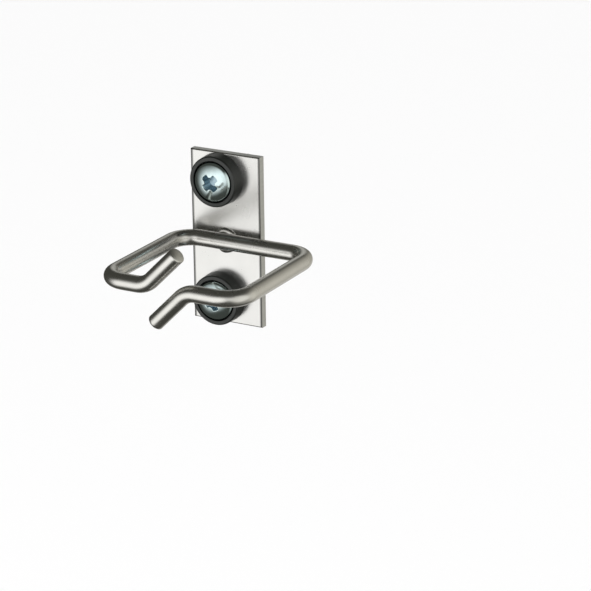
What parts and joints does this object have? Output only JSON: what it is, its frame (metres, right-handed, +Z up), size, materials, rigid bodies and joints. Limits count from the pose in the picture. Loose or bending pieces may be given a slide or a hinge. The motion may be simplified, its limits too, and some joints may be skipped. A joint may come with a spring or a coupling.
{
  "type": "rack cable ring",
  "caption": "Open square wire ring welded to a small plate and screwed to a rack rail through cup washers; cables slip in through the slanted slot between the wire's ends.",
  "frame": {"origin": "on the rail's face, midway between the two screws", "axes": "+Y into the rail along the screws, +Z up, +X to the side that the ring is set towards"},
  "size_m": [0.04, 0.0548, 0.0433],
  "materials": {
    "plate": "satin nickel plated sheet steel",
    "wire": "satin nickel plated steel wire",
    "weld": "plated over, uneven",
    "washers": "black, slight sheen",
    "screws": "bright zinc plated steel"
  },
  "bodies": {
    "root": {"mounting_plate": "plate", "wire_ring": "wire", "weld_nugget": "weld", "cup_washer_upper": "washers", "cup_washer_lower": "washers", "screw_upper": "screws", "screw_lower": "screws"}
  },
  "joints": []
}
